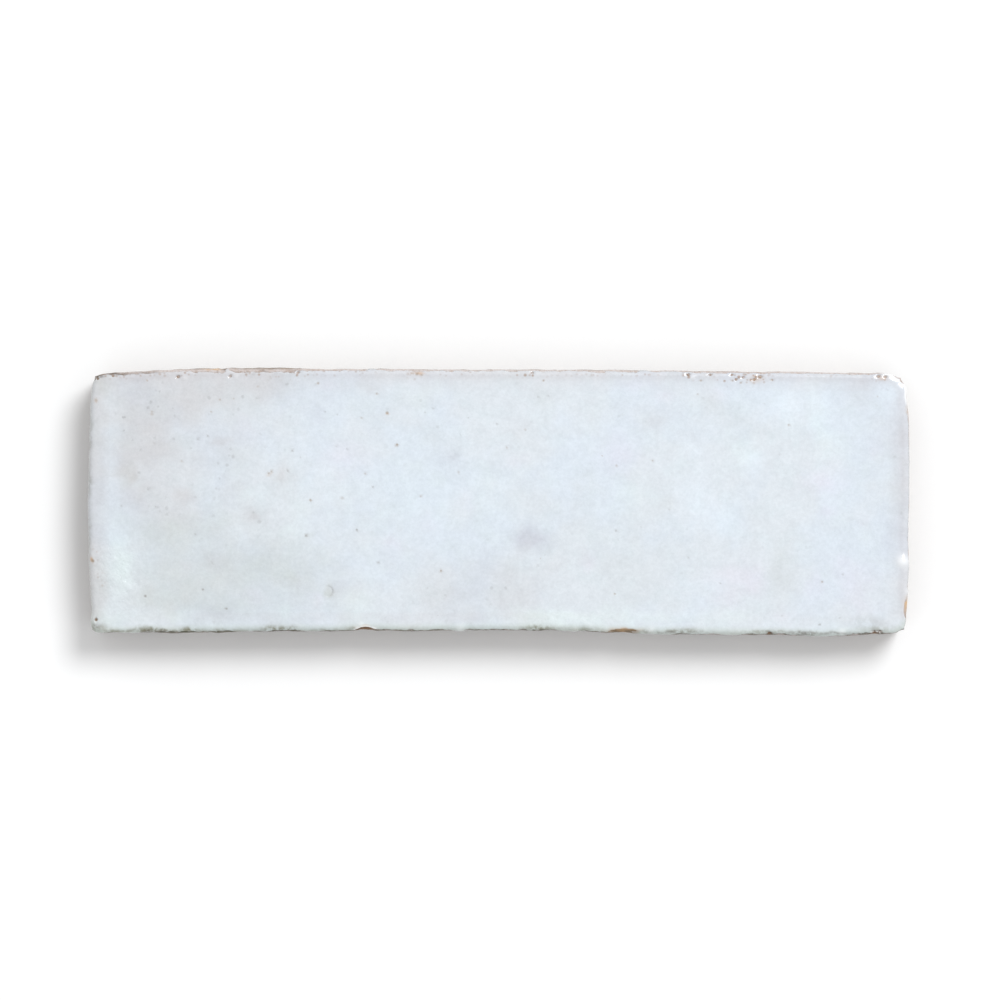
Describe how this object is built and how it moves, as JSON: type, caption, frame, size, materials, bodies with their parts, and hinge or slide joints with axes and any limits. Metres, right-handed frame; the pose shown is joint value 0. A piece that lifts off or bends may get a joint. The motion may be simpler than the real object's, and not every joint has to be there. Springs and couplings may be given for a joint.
{
  "type": "subway wall tile",
  "caption": "Narrow oblong ceramic wall tile with a gently waved, hand-finished glazed face, rolled edges, softened corners and a plain flat back.",
  "frame": {"origin": "middle of the tile's outline, on the plane of its flat back", "axes": "+X along the tile's length, +Y across its width, +Z out of the glazed face"},
  "size_m": [0.15, 0.0485, 0.01],
  "materials": {
    "glaze": "gloss",
    "clay": "matte"
  },
  "bodies": {
    "root": {"wall_tile": "glaze"}
  },
  "joints": []
}
